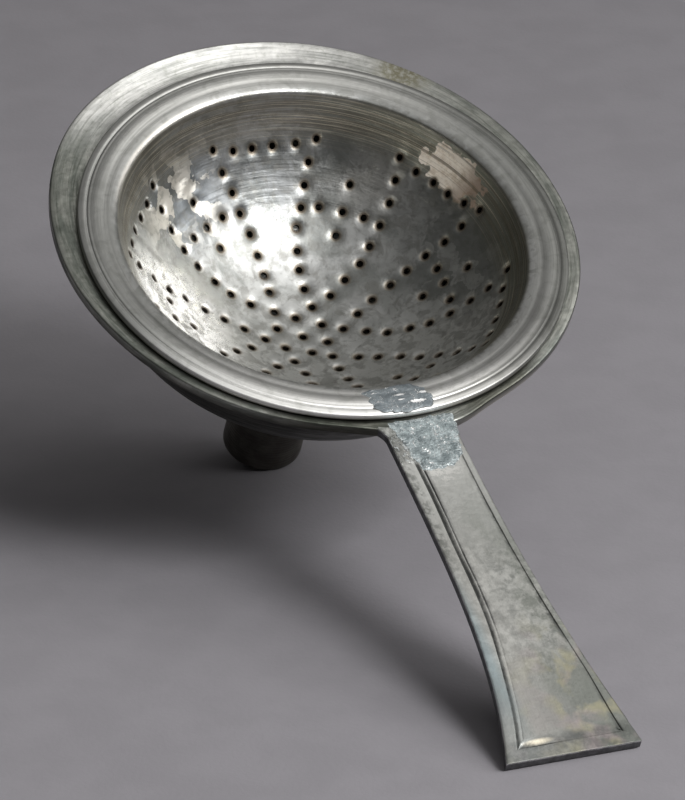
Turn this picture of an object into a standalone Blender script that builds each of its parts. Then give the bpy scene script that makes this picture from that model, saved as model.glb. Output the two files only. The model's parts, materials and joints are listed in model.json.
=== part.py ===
"""Two-piece silver wine strainer, at rest on its spout and on the end of its handle.

A funnel (bowl with a flat rim, soldered spout and soldered handle) carries a loose strainer: a round
perforated bowl whose flange lies on the funnel's rim.  Two lumps of old solder are what is left of a
lost hinge.  Lengths are in metres.  Each piece is modelled upright, with the funnel's rim at z = 0 and
the handle along +X, and the whole then leans on one empty until spout and handle touch the floor.
"""
import math

import bmesh
import bpy
from mathutils import Matrix, Vector

OBJECT_NAME = "wine_strainer"

# Strainer bowl and flange
STRAINER_MOUTH_RADIUS = 0.04235
STRAINER_DEPTH = 0.0288
STRAINER_WALL = 0.0008
STRAINER_FLANGE_THICKNESS = 0.0015
STRAINER_FLANGE_OVERLAP = 0.0043
STRAINER_MOUTH_ROUND = 0.0010
STRAINER_EDGE_ROUND = 0.0005
MOULDING_WIDTH = 0.0022
GROOVE_WIDTH = 0.0004
GROOVE_DEPTH = 0.0003

# Perforations: six petals around a centre hole, measured along the curve of the bowl
HOLE_RADIUS = 0.00075
HOLE_SIDES = 6
PATTERN_MARGIN = 0.0085
PETALS = 6
HEART_RING = 0.0053
VALLEY_REACH = 0.0085
SIDE_START = 0.01215
SIDE_PITCH = 0.00455
SIDE_HOLES = 8
PETAL_WAIST = 0.0038
PETAL_FLARE = 0.0094
TIP_ROW_HOLES = 4
CROSSBAR_REACH = 0.0311
CROSSBAR_SPREAD = 0.0050
CROSS_FOOT_REACH = 0.0260
CROSS_TIP_REACH = 0.0371

# Funnel bowl and rim
SEAT_PLAY = 0.0034
FUNNEL_FLANGE_WIDTH = 0.0085
FUNNEL_FLANGE_THICKNESS = 0.0014
FUNNEL_WALL = 0.0009
FUNNEL_MOUTH_ROUND = 0.0008
BEAD_HEIGHT = 0.0025
BEAD_WIDTH = 0.0036
BEAD_ROUND = 0.0005
BOWL_CLEARANCE = 0.0085

# Spout
SPOUT_RADIUS = 0.0085
SPOUT_WALL = 0.0010
SPOUT_LENGTH = 0.0277
SPOUT_BAND_WIDTH = 0.0035
SPOUT_BAND_DEPTH = 0.0003

# Handle
HANDLE_LENGTH = 0.0850
HANDLE_WAIST_WIDTH = 0.0146
HANDLE_END_WIDTH = 0.0276
HANDLE_ROOT_FLARE = 0.0030
HANDLE_ROOT_LENGTH = 0.0080
HANDLE_FLARE_POWER = 2.6
HANDLE_THICKNESS = 0.0022
HANDLE_END_THICKNESS = 0.0033
HANDLE_LIP_LENGTH = 0.0040
BORDER_WIDTH = 0.0022
END_BORDER_WIDTH = 0.0030
PANEL_DEPTH = 0.0005
HANDLE_SLOPE = 0.0004

# Old solder
SOLDER_THICKNESS = 0.0006
FLANGE_SOLDER_LENGTH = 0.0145
FLANGE_SOLDER_OFFSET = -0.0014
SOLDER_MARGIN = 0.0004
TONGUE_LENGTH = 0.0140
TONGUE_WIDTH = 0.0125
TONGUE_OFFSET = 0.0012
TONGUE_TAPER = 0.35
SOLDER_WAVE = 0.07
SOLDER_LOBES = 5

# Clearances between touching pieces
SEAT_GAP = 0.0003
SOLDER_GAP = 0.0003

# Fineness of the round shapes
BOWL_SIDES = 48
SPOUT_SIDES = 44
ARC_POINTS = 3
BOWL_POINTS = 9
SIDE_POINTS = 14
ROOT_POINTS = 4
PANEL_POINTS = 7
SOLDER_POINTS = 28
MERGE_DISTANCE = 0.000001

# Strainer bowl as part of a sphere, above the flange's underside at z = 0
MOUTH_HEIGHT = STRAINER_FLANGE_THICKNESS - STRAINER_MOUTH_ROUND
SPHERE_RADIUS = (STRAINER_MOUTH_RADIUS ** 2 + STRAINER_DEPTH ** 2) / (2 * STRAINER_DEPTH)
SPHERE_HEIGHT = MOUTH_HEIGHT - STRAINER_DEPTH + SPHERE_RADIUS
SPHERE_OUTSIDE = SPHERE_RADIUS + STRAINER_WALL
BOWL_SEAT_RADIUS = math.sqrt(SPHERE_OUTSIDE ** 2 - SPHERE_HEIGHT ** 2)
BOWL_ARC = SPHERE_RADIUS * math.acos((SPHERE_HEIGHT - MOUTH_HEIGHT) / SPHERE_RADIUS)

# The funnel's mouth lets the strainer's bowl in with play, and the strainer slides down to the handle side
FUNNEL_MOUTH_RADIUS = BOWL_SEAT_RADIUS + SEAT_PLAY
STRAINER_SHIFT = SEAT_PLAY - SEAT_GAP
STRAINER_FLANGE_RADIUS = FUNNEL_MOUTH_RADIUS + STRAINER_FLANGE_OVERLAP
RIM_RADIUS = FUNNEL_MOUTH_RADIUS + FUNNEL_FLANGE_WIDTH
FUNNEL_DEPTH = STRAINER_DEPTH + STRAINER_WALL - MOUTH_HEIGHT - SEAT_GAP + BOWL_CLEARANCE

# The spout hangs under the bowl's bottom, and the handle reaches out from the rim
SPOUT_BORE_RADIUS = SPOUT_RADIUS - SPOUT_WALL
BOWL_ACROSS = FUNNEL_MOUTH_RADIUS + FUNNEL_WALL
BOWL_DEEP = FUNNEL_DEPTH + FUNNEL_WALL
SPOUT_TOP = -BOWL_DEEP * math.sqrt(1 - (SPOUT_RADIUS / BOWL_ACROSS) ** 2) - SOLDER_GAP
SPOUT_TOP_INSIDE = -BOWL_DEEP * math.sqrt(1 - (SPOUT_BORE_RADIUS / BOWL_ACROSS) ** 2) - SOLDER_GAP
SPOUT_END = SPOUT_TOP - SPOUT_LENGTH
HANDLE_ROOT_RADIUS = RIM_RADIUS + SOLDER_GAP
HANDLE_REACH = RIM_RADIUS + HANDLE_LENGTH
WAIST_REACH = RIM_RADIUS + HANDLE_ROOT_LENGTH

# The lean that puts the spout's end and the handle's end on the same floor
SPOUT_FOOT = SPOUT_RADIUS * math.cos(math.pi / SPOUT_SIDES)
LEAN = math.atan2(-HANDLE_END_THICKNESS - SPOUT_END, HANDLE_REACH - SPOUT_FOOT)

# Colour, roughness and metallic value of each finish
BRIGHT_SILVER = ((0.62, 0.60, 0.57), 0.30, 1.0)
WORN_SILVER = ((0.50, 0.49, 0.47), 0.38, 1.0)
DARK_SILVER = ((0.30, 0.28, 0.26), 0.45, 1.0)
PALE_SILVER = ((0.60, 0.59, 0.57), 0.42, 1.0)
OLD_SOLDER = ((0.34, 0.37, 0.39), 0.75, 0.6)


def clear_scene():
    """Remove every object that the scene starts with."""
    for scene_object in list(bpy.data.objects):
        bpy.data.objects.remove(scene_object)


def new_collection(name):
    """Add a collection to the scene."""
    collection = bpy.data.collections.new(name)
    bpy.context.scene.collection.children.link(collection)
    return collection


def new_empty(name, collection, parent=None, location=(0, 0, 0)):
    """Add an empty that carries pieces."""
    empty = bpy.data.objects.new(name, None)
    empty.location = location
    empty.parent = parent
    collection.objects.link(empty)
    return empty


def add_object(name, mesh, collection, parent, finish=None):
    """Add a mesh object, with its own material when a finish is given."""
    piece = bpy.data.objects.new(name, mesh)
    piece.parent = parent
    collection.objects.link(piece)
    if finish:
        colour, roughness, metallic = finish
        material = bpy.data.materials.new(name + "_finish")
        material.use_nodes = True
        shader = material.node_tree.nodes["Principled BSDF"]
        shader.inputs["Base Color"].default_value = (*colour, 1)
        shader.inputs["Roughness"].default_value = roughness
        shader.inputs["Metallic"].default_value = metallic
        mesh.materials.append(material)
    return piece


def add_cutter(name, mesh, collection, parent):
    """Add a shape that only cuts other pieces."""
    cutter = add_object(name, mesh, collection, parent)
    cutter.hide_render = True
    cutter.display_type = 'WIRE'
    return cutter


def cut(piece, cutter):
    """Take a cutter's volume out of a piece."""
    boolean = piece.modifiers.new("cut_" + cutter.name, 'BOOLEAN')
    boolean.operation = 'DIFFERENCE'
    boolean.solver = 'EXACT'
    boolean.object = cutter


def turned(name, profile, closed, sides, collection, parent, finish):
    """Turn a profile of (radius, height) points, outer side downward, about the Z axis."""
    mesh = bpy.data.meshes.new(name)
    edges = [(i, i + 1) for i in range(len(profile) - 1)]
    if closed:
        edges.append((len(profile) - 1, 0))
    mesh.from_pydata([(radius, 0, height) for radius, height in profile], edges, [])
    piece = add_object(name, mesh, collection, parent, finish)
    screw = piece.modifiers.new("turn", 'SCREW')
    screw.axis = 'Z'
    screw.angle = math.tau
    screw.steps = sides
    screw.render_steps = sides
    screw.use_merge_vertices = True
    screw.merge_threshold = MERGE_DISTANCE
    screw.use_smooth_shade = True
    return piece


def plate_mesh(name, outline, top, thickness):
    """Extrude a flat outline of (x, y) points down from a height, as one closed mesh."""
    curve = bpy.data.curves.new(name, 'CURVE')
    curve.dimensions = '2D'
    curve.fill_mode = 'BOTH'
    curve.extrude = thickness / 2
    spline = curve.splines.new('POLY')
    spline.points.add(len(outline) - 1)
    for point, (x, y) in zip(spline.points, outline):
        point.co = (x, y, 0, 1)
    spline.use_cyclic_u = True
    flat = bpy.data.objects.new(name, curve)
    bpy.context.scene.collection.objects.link(flat)
    depsgraph = bpy.context.evaluated_depsgraph_get()
    mesh = bpy.data.meshes.new_from_object(flat.evaluated_get(depsgraph))
    bpy.data.objects.remove(flat)
    shape = bmesh.new()
    shape.from_mesh(mesh)
    bmesh.ops.remove_doubles(shape, verts=shape.verts, dist=MERGE_DISTANCE)
    bmesh.ops.translate(shape, verts=shape.verts, vec=(0, 0, top - thickness / 2))
    bmesh.ops.recalc_face_normals(shape, faces=shape.faces)
    shape.to_mesh(mesh)
    shape.free()
    return mesh


def grid_mesh(name, top, bottom):
    """Close two matching grids of points, one above the other, into one body."""
    rows, columns = len(top), len(top[0])
    points = [point for row in top + bottom for point in row]
    faces = []
    for i in range(rows - 1):
        for j in range(columns - 1):
            corners = [(i, j), (i, j + 1), (i + 1, j + 1), (i + 1, j)]
            faces.append([a * columns + b for a, b in corners])
            faces.append([(rows + a) * columns + b for a, b in reversed(corners)])
    edge = [(i, 0) for i in range(rows)] + [(rows - 1, j) for j in range(1, columns)]
    edge += [(i, columns - 1) for i in range(rows - 2, -1, -1)]
    edge += [(0, j) for j in range(columns - 2, 0, -1)]
    for (a, b), (c, d) in zip(edge, edge[1:] + edge[:1]):
        faces.append([a * columns + b, c * columns + d, (rows + c) * columns + d, (rows + a) * columns + b])
    mesh = bpy.data.meshes.new(name)
    mesh.from_pydata(points, [], faces)
    shape = bmesh.new()
    shape.from_mesh(mesh)
    bmesh.ops.triangulate(shape, faces=shape.faces)
    bmesh.ops.recalc_face_normals(shape, faces=shape.faces)
    shape.to_mesh(mesh)
    shape.free()
    return mesh


def steps(first, last, count):
    """Evenly spaced values from first to last, both included."""
    return [first + (last - first) * i / (count - 1) for i in range(count)]


def arc(radius, height, size, first, last):
    """Points of a rounding in a profile, by angle in degrees from the +radius direction."""
    angles = [math.radians(angle) for angle in steps(first, last, ARC_POINTS)]
    return [(radius + size * math.cos(a), height + size * math.sin(a)) for a in angles]


def half_ellipse(across, deep, first, last):
    """Points down a bowl's wall, from one angle under the rim to another."""
    return [(across * math.cos(a), -deep * math.sin(a)) for a in steps(first, last, BOWL_POINTS)]


def sphere_wall(radius, first, last):
    """Points on the strainer's round bowl, by angle from its lowest point."""
    angles = steps(first, last, BOWL_POINTS)
    return [(radius * math.sin(a), SPHERE_HEIGHT - radius * math.cos(a)) for a in angles]


def make_funnel_bowl(collection, parent):
    """Bowl with a flat rim, a thick bead along the rim's edge and a hole for the spout."""
    bead_inside = RIM_RADIUS - BEAD_WIDTH
    edge = RIM_RADIUS - BEAD_ROUND
    profile = arc(edge, -BEAD_ROUND, BEAD_ROUND, 90, 0)
    profile += arc(edge, BEAD_ROUND - BEAD_HEIGHT, BEAD_ROUND, 0, -90)
    profile += [(bead_inside, -BEAD_HEIGHT), (bead_inside, -FUNNEL_FLANGE_THICKNESS)]
    under_flange = math.asin(FUNNEL_FLANGE_THICKNESS / BOWL_DEEP)
    under_spout = math.acos(SPOUT_BORE_RADIUS / BOWL_ACROSS)
    profile += half_ellipse(BOWL_ACROSS, BOWL_DEEP, under_flange, under_spout)
    in_mouth = math.asin(FUNNEL_MOUTH_ROUND / FUNNEL_DEPTH)
    at_spout = math.acos(SPOUT_BORE_RADIUS / FUNNEL_MOUTH_RADIUS)
    profile += half_ellipse(FUNNEL_MOUTH_RADIUS, FUNNEL_DEPTH, at_spout, in_mouth)
    mouth_centre = FUNNEL_MOUTH_RADIUS + FUNNEL_MOUTH_ROUND
    profile += arc(mouth_centre, -FUNNEL_MOUTH_ROUND, FUNNEL_MOUTH_ROUND, 180, 90)[1:]
    return turned("funnel_bowl", profile, True, BOWL_SIDES, collection, parent, WORN_SILVER)


def make_spout(collection, parent):
    """Straight tube under the bowl, with a plain band left at each end of its turned length."""
    waist = SPOUT_RADIUS - SPOUT_BAND_DEPTH
    band_top, band_end = SPOUT_TOP - SPOUT_BAND_WIDTH, SPOUT_END + SPOUT_BAND_WIDTH
    profile = [
        (SPOUT_RADIUS, SPOUT_TOP),
        (SPOUT_RADIUS, band_top),
        (waist, band_top - SPOUT_BAND_DEPTH),
        (waist, band_end + SPOUT_BAND_DEPTH),
        (SPOUT_RADIUS, band_end),
        (SPOUT_RADIUS, SPOUT_END),
        (SPOUT_BORE_RADIUS, SPOUT_END),
        (SPOUT_BORE_RADIUS, SPOUT_TOP_INSIDE),
    ]
    spout = turned("spout", profile, True, SPOUT_SIDES, collection, parent, DARK_SILVER)
    # Half a step of turn puts a flat, not a corner, under the leaning spout
    spout.rotation_euler.z = math.pi / SPOUT_SIDES
    return spout


def handle_half_width(x):
    """Half the handle's width: flared at the rim, narrow at the waist and wide at the end."""
    waist = HANDLE_WAIST_WIDTH / 2
    if x < WAIST_REACH:
        return waist + HANDLE_ROOT_FLARE * ((WAIST_REACH - x) / HANDLE_ROOT_LENGTH) ** 2
    run = (x - WAIST_REACH) / (HANDLE_REACH - WAIST_REACH)
    return waist + (HANDLE_END_WIDTH - HANDLE_WAIST_WIDTH) / 2 * run ** HANDLE_FLARE_POWER


def handle_stations():
    """Places along the handle, from its root, at which its section is given."""
    panel_end = HANDLE_REACH - END_BORDER_WIDTH
    lip = HANDLE_REACH - HANDLE_LIP_LENGTH
    stations = steps(HANDLE_ROOT_RADIUS, WAIST_REACH, ROOT_POINTS)
    stations += steps(WAIST_REACH, HANDLE_REACH, SIDE_POINTS)[1:]
    stations += [WAIST_REACH + HANDLE_SLOPE, lip - HANDLE_SLOPE, lip, panel_end - HANDLE_SLOPE, panel_end]
    return sorted(stations)


def handle_section(x):
    """Places across the handle: edge, border's inner line and panel's foot on each side, and between."""
    half = handle_half_width(x)
    border = half - BORDER_WIDTH
    foot = border - HANDLE_SLOPE
    return [half, border] + steps(foot, -foot, PANEL_POINTS) + [-border, -half]


def make_handle(collection, parent):
    """Flat handle with a raised border, a sunk panel and a thick lip under its end."""
    panel = (WAIST_REACH + HANDLE_SLOPE / 2, HANDLE_REACH - END_BORDER_WIDTH - HANDLE_SLOPE / 2)
    lip = HANDLE_REACH - HANDLE_LIP_LENGTH - HANDLE_SLOPE / 2
    top, bottom = [], []
    for i, x in enumerate(handle_stations()):
        thick = HANDLE_THICKNESS if x < lip else HANDLE_END_THICKNESS
        places = handle_section(x)
        top_row, bottom_row = [], []
        for j, y in enumerate(places):
            # The root is hollow, to follow the rim
            along = x if i else math.sqrt(HANDLE_ROOT_RADIUS ** 2 - y ** 2)
            sunk = panel[0] < x < panel[1] and 1 < j < len(places) - 2
            top_row.append((along, y, -PANEL_DEPTH if sunk else 0))
            bottom_row.append((along, y, -thick))
        top.append(top_row)
        bottom.append(bottom_row)
    return add_object("handle", grid_mesh("handle", top, bottom), collection, parent, PALE_SILVER)


def make_handle_solder(collection, parent):
    """Tongue of old solder on the handle's root, pointing along the handle."""
    middle = HANDLE_ROOT_RADIUS + SOLDER_MARGIN + TONGUE_LENGTH / 2
    outline = []
    for i in range(SOLDER_POINTS):
        turn = math.tau * i / SOLDER_POINTS
        ragged = 1 + SOLDER_WAVE * math.sin(SOLDER_LOBES * turn)
        taper = 1 - TONGUE_TAPER * math.cos(turn)
        x = middle + TONGUE_LENGTH / 2 * math.cos(turn)
        y = TONGUE_OFFSET + TONGUE_WIDTH / 2 * math.sin(turn) * taper * ragged
        outline.append((x, y))
    top = SOLDER_GAP + SOLDER_THICKNESS
    mesh = plate_mesh("handle_solder_patch", outline, top, SOLDER_THICKNESS)
    return add_object("handle_solder_patch", mesh, collection, parent, OLD_SOLDER)


def petal_holes():
    """Holes of one petal along +X, as (along, aside) lengths on the unrolled bowl."""
    holes = [(HEART_RING, 0)]
    last = SIDE_START + SIDE_PITCH * (SIDE_HOLES - 1)
    for along in steps(SIDE_START, last, SIDE_HOLES):
        aside = PETAL_WAIST + PETAL_FLARE * ((along - SIDE_START) / (last - SIDE_START)) ** 2
        holes += [(along, aside), (along, -aside)]
    corner = PETAL_WAIST + PETAL_FLARE
    holes += [(last, aside) for aside in steps(-corner, corner, TIP_ROW_HOLES + 2)[1:-1]]
    return holes


def valley_holes():
    """Holes between two petals, along +X: a lone hole at the petals' foot and a small cross."""
    lone = [(reach, 0) for reach in (VALLEY_REACH, CROSS_FOOT_REACH, CROSSBAR_REACH, CROSS_TIP_REACH)]
    return lone + [(CROSSBAR_REACH, CROSSBAR_SPREAD), (CROSSBAR_REACH, -CROSSBAR_SPREAD)]


def hole_places():
    """Every hole as (angle from the bowl's lowest point, angle around the axis)."""
    corner = math.hypot(SIDE_START + SIDE_PITCH * (SIDE_HOLES - 1), PETAL_WAIST + PETAL_FLARE)
    fit = (BOWL_ARC - PATTERN_MARGIN) / corner
    places = [(0, 0)]
    for k in range(PETALS):
        petal_turn = math.pi + math.tau * k / PETALS
        for holes, turn in ((petal_holes(), petal_turn), (valley_holes(), petal_turn + math.pi / PETALS)):
            for along, aside in holes:
                reach = fit * math.hypot(along, aside)
                places.append((reach / SPHERE_RADIUS, turn + math.atan2(aside, along)))
    return places


def hole_cutter_mesh():
    """One mesh of small prisms that stand square through the bowl's wall at every hole."""
    shape = bmesh.new()
    middle = SPHERE_RADIUS + STRAINER_WALL / 2
    for polar, turn in hole_places():
        around = Matrix.Rotation(turn, 4, 'Z')
        down = Matrix.Rotation(-polar, 4, 'Y')
        centre = Matrix.Translation((0, 0, SPHERE_HEIGHT))
        place = centre @ around @ down @ Matrix.Translation((0, 0, -middle))
        bmesh.ops.create_cone(shape, cap_ends=True, segments=HOLE_SIDES, radius1=HOLE_RADIUS,
                              radius2=HOLE_RADIUS, depth=4 * STRAINER_WALL, matrix=place)
    mesh = bpy.data.meshes.new("strainer_hole_cut")
    shape.to_mesh(mesh)
    shape.free()
    return mesh


def make_strainer(collection, cutters, parent):
    """Round bowl and moulded flange in one piece, pierced with the petal pattern."""
    thick = STRAINER_FLANGE_THICKNESS
    mouth_angle = math.acos((SPHERE_HEIGHT - MOUTH_HEIGHT) / SPHERE_RADIUS)
    seat_angle = math.acos(SPHERE_HEIGHT / SPHERE_OUTSIDE)
    groove_out = STRAINER_FLANGE_RADIUS - MOULDING_WIDTH
    groove_in = groove_out - GROOVE_WIDTH
    edge = STRAINER_FLANGE_RADIUS - STRAINER_EDGE_ROUND
    mouth_centre = STRAINER_MOUTH_RADIUS + STRAINER_MOUTH_ROUND
    profile = sphere_wall(SPHERE_RADIUS, 0, mouth_angle)
    profile += arc(mouth_centre, MOUTH_HEIGHT, STRAINER_MOUTH_ROUND, 180, 90)[1:]
    profile += [(groove_in, thick), ((groove_in + groove_out) / 2, thick - GROOVE_DEPTH), (groove_out, thick)]
    profile += arc(edge, thick - STRAINER_EDGE_ROUND, STRAINER_EDGE_ROUND, 90, 0)
    profile += arc(edge, STRAINER_EDGE_ROUND, STRAINER_EDGE_ROUND, 0, -90)
    profile += sphere_wall(SPHERE_OUTSIDE, seat_angle, 0)
    strainer = turned("strainer", profile, False, BOWL_SIDES, collection, parent, BRIGHT_SILVER)
    cut(strainer, add_cutter("strainer_hole_cut", hole_cutter_mesh(), cutters, parent))
    return strainer


def make_strainer_solder(collection, parent):
    """Patch of old solder across the strainer's flange, on the handle side."""
    inside = STRAINER_MOUTH_RADIUS + STRAINER_MOUTH_ROUND + SOLDER_MARGIN
    outside = STRAINER_FLANGE_RADIUS - SOLDER_MARGIN
    middle = (inside + outside) / 2
    outline = []
    for i in range(SOLDER_POINTS):
        turn = math.tau * i / SOLDER_POINTS
        ragged = 1 - SOLDER_WAVE * math.cos(SOLDER_LOBES * turn) ** 2
        radius = middle + (outside - inside) / 2 * math.sin(turn) * ragged
        around = FLANGE_SOLDER_OFFSET + FLANGE_SOLDER_LENGTH / 2 * math.cos(turn) * ragged
        outline.append((radius * math.cos(around / middle), radius * math.sin(around / middle)))
    top = STRAINER_FLANGE_THICKNESS + SOLDER_GAP + SOLDER_THICKNESS
    mesh = plate_mesh("strainer_solder_patch", outline, top, SOLDER_THICKNESS)
    return add_object("strainer_solder_patch", mesh, collection, parent, OLD_SOLDER)


def stand_on_floor(stand, pieces):
    """Lean the whole object, and move it to stand at z = 0 with its box centred on the origin."""
    stand.rotation_euler.y = LEAN
    depsgraph = bpy.context.evaluated_depsgraph_get()
    corners = []
    for piece in pieces:
        evaluated = piece.evaluated_get(depsgraph)
        corners += [evaluated.matrix_world @ vertex.co for vertex in evaluated.to_mesh().vertices]
        evaluated.to_mesh_clear()
    low = Vector([min(corner[axis] for corner in corners) for axis in range(3)])
    high = Vector([max(corner[axis] for corner in corners) for axis in range(3)])
    middle = (low + high) / 2
    stand.location = (-middle.x, -middle.y, -low.z)


def main():
    """Build the whole object."""
    clear_scene()
    collection = new_collection(OBJECT_NAME)
    cutters = new_collection("cutters")
    stand = new_empty("funnel_stand", collection)
    seat = new_empty("strainer_seat", collection, stand, (STRAINER_SHIFT, 0, SEAT_GAP))
    pieces = [
        make_funnel_bowl(collection, stand),
        make_spout(collection, stand),
        make_handle(collection, stand),
        make_handle_solder(collection, stand),
        make_strainer(collection, cutters, seat),
        make_strainer_solder(collection, seat),
    ]
    stand_on_floor(stand, pieces)
    bpy.context.view_layer.update()


main()
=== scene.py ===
"""Looks of the two-piece silver wine strainer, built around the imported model.

Every piece is modelled upright, with the funnel's rim at z = 0 and the handle along +X, and is then
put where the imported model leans.  Lengths are in metres, and textures read millimetres.
"""
import json
import math
import random

import bmesh
import bpy
import numpy as np
from mathutils import Matrix, Vector, kdtree, noise
from mathutils.geometry import delaunay_2d_cdt


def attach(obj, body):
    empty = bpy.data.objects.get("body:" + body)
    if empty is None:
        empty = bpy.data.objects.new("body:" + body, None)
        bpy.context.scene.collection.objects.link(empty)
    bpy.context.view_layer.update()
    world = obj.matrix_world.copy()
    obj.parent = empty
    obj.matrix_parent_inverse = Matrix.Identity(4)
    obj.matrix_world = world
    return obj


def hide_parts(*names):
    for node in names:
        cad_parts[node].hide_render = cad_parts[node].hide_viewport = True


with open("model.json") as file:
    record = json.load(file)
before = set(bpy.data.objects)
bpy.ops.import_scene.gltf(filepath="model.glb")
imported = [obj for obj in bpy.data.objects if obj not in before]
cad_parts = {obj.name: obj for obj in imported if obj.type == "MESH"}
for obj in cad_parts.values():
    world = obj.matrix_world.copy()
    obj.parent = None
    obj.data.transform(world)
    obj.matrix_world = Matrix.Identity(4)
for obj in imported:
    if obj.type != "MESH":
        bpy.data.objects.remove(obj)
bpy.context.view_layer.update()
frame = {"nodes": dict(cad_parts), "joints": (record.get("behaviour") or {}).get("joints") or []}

MM = 0.001

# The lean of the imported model, and the place of the funnel's rim
LIFT_AXIS = Vector(frame["joints"][0]["axis"]).normalized()
LEAN = math.atan2(LIFT_AXIS.x, LIFT_AXIS.z)


def upright_box(node):
    """Lowest and highest corner of a CAD node, turned upright about the origin."""
    turn = Matrix.Rotation(-LEAN, 3, 'Y')
    points = np.array([turn @ vertex.co for vertex in frame["nodes"][node].data.vertices])
    return points.min(0), points.max(0)


RIM_LOW, RIM_HIGH = upright_box("funnel_bowl")
RIM_CENTRE = Vector(((RIM_LOW[0] + RIM_HIGH[0]) / 2, (RIM_LOW[1] + RIM_HIGH[1]) / 2, RIM_HIGH[2]))
STAND = Matrix.Rotation(LEAN, 4, 'Y') @ Matrix.Translation(RIM_CENTRE)
STRAINER_LOW, STRAINER_HIGH = upright_box("strainer")
HANDLE_LOW, HANDLE_HIGH = upright_box("handle")

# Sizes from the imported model
RIM_RADIUS = (RIM_HIGH[1] - RIM_LOW[1]) / 2
STRAINER_RADIUS = (STRAINER_HIGH[1] - STRAINER_LOW[1]) / 2
STRAINER_SHIFT = (STRAINER_LOW[0] + STRAINER_HIGH[0]) / 2 - RIM_CENTRE.x
FLANGE_TOP = STRAINER_HIGH[2] - RIM_CENTRE.z
SPOUT_END = upright_box("spout")[0][2] - RIM_CENTRE.z
HANDLE_REACH = HANDLE_HIGH[0] - RIM_CENTRE.x
HANDLE_END_HALF = (HANDLE_HIGH[1] - HANDLE_LOW[1]) / 2

# Strainer
FLANGE_THICKNESS = 0.0015
MOUTH_RADIUS = 0.04235
MOUTH_HEIGHT = 0.0005
BOWL_DEPTH = 0.0288
BOWL_WALL = 0.0008
SPHERE_RADIUS = (MOUTH_RADIUS ** 2 + BOWL_DEPTH ** 2) / (2 * BOWL_DEPTH)
SPHERE_HEIGHT = MOUTH_HEIGHT - BOWL_DEPTH + SPHERE_RADIUS
MOUTH_ANGLE = math.acos((SPHERE_HEIGHT - MOUTH_HEIGHT) / SPHERE_RADIUS)
SEAT_ANGLE = math.acos(SPHERE_HEIGHT / (SPHERE_RADIUS + BOWL_WALL))
BOWL_ARC = SPHERE_RADIUS * MOUTH_ANGLE
SEAT_HEIGHT = FLANGE_TOP - FLANGE_THICKNESS

# Funnel
FUNNEL_MOUTH_RADIUS = RIM_RADIUS - 0.0085
FUNNEL_DEPTH = 0.0373
FUNNEL_WALL = 0.0009
FUNNEL_OUTSIDE = (FUNNEL_MOUTH_RADIUS + FUNNEL_WALL, FUNNEL_DEPTH + FUNNEL_WALL)
FUNNEL_FLANGE_THICKNESS = 0.0014
BEAD_HEIGHT = 0.0025
BEAD_WIDTH = 0.0036
SPOUT_RADIUS = 0.0085
SPOUT_BORE = 0.0075

# Steps around the axis, the circle of the turn coordinates, and where the bowl's outside begins in them
ROUND_STEPS = 240
FLANGE_STEPS = 720
TURN_CIRCLE = 10
OUTSIDE_RUN = 0.2


def smooth(value, low, high):
    """0 below low, 1 above high, eased between."""
    t = np.clip((np.asarray(value, float) - low) / (high - low), 0, 1)
    return t * t * (3 - 2 * t)


def wave(x, y, size, seed):
    """Smooth noise from -1 to 1 with lumps of about a size in metres."""
    return noise.noise(Vector((x / size + seed, y / size - seed, 2 * seed)))


def waves(places, size, seed):
    """The noise at many flat places."""
    return np.array([wave(x, y, size, seed) for x, y in places])


def arc(radius, height, size, first, last, count=6):
    """Points of a rounding in a profile, by angle in degrees from the +radius direction."""
    angles = np.radians(np.linspace(first, last, count))
    return [(radius + size * math.cos(a), height + size * math.sin(a)) for a in angles]


def add_piece(name, body, node, material, points, faces, extra, crease=40):
    """Make a mesh from upright points, and set it on its body in the place of a CAD node."""
    points = np.asarray(points, float)
    place = np.array(STAND)
    mesh = bpy.data.meshes.new(name)
    mesh.from_pydata((points @ place[:3, :3].T + place[:3, 3]).tolist(), [], faces)
    for key, data in {"form": points / MM, **extra}.items():
        data = np.asarray(data, np.float32)
        kind = 'FLOAT' if data.ndim == 1 else 'FLOAT_VECTOR'
        layer = mesh.attributes.new(key, kind, 'POINT')
        layer.data.foreach_set("value" if data.ndim == 1 else "vector", data.ravel())
    shape = bmesh.new()
    shape.from_mesh(mesh)
    bmesh.ops.recalc_face_normals(shape, faces=shape.faces)
    shape.to_mesh(mesh)
    shape.free()
    mesh.shade_smooth()
    mesh.set_sharp_from_angle(angle=math.radians(crease))
    mesh.materials.append(material)
    piece = bpy.data.objects.new(name, mesh)
    bpy.context.scene.collection.objects.link(piece)
    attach(piece, body)
    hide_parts(node)


def turn_coordinates(angle, run):
    """Texture coordinates that have no seam around the axis: a circle, and the length along the profile."""
    return np.stack([TURN_CIRCLE * np.cos(angle), TURN_CIRCLE * np.sin(angle), np.asarray(run) / MM], -1)


def revolve(profile, steps, start=0.0, bend=None):
    """Turn a profile of (radius, height) about the axis: radii, heights, points and turn coordinates."""
    profile = np.asarray(profile, float)
    run = start + np.cumsum(np.linalg.norm(np.diff(profile, axis=0, prepend=profile[:1]), axis=1))
    angles = np.arange(steps) * math.tau / steps
    radius, angle = np.meshgrid(profile[:, 0], angles)
    height, _ = np.meshgrid(profile[:, 1], angles)
    if bend:
        radius, height = bend(radius, height, angle)
    points = np.stack([radius * np.cos(angle), radius * np.sin(angle), height], -1).reshape(-1, 3)
    return radius, height, points, turn_coordinates(angle, np.broadcast_to(run, angle.shape)).reshape(-1, 3)


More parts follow.
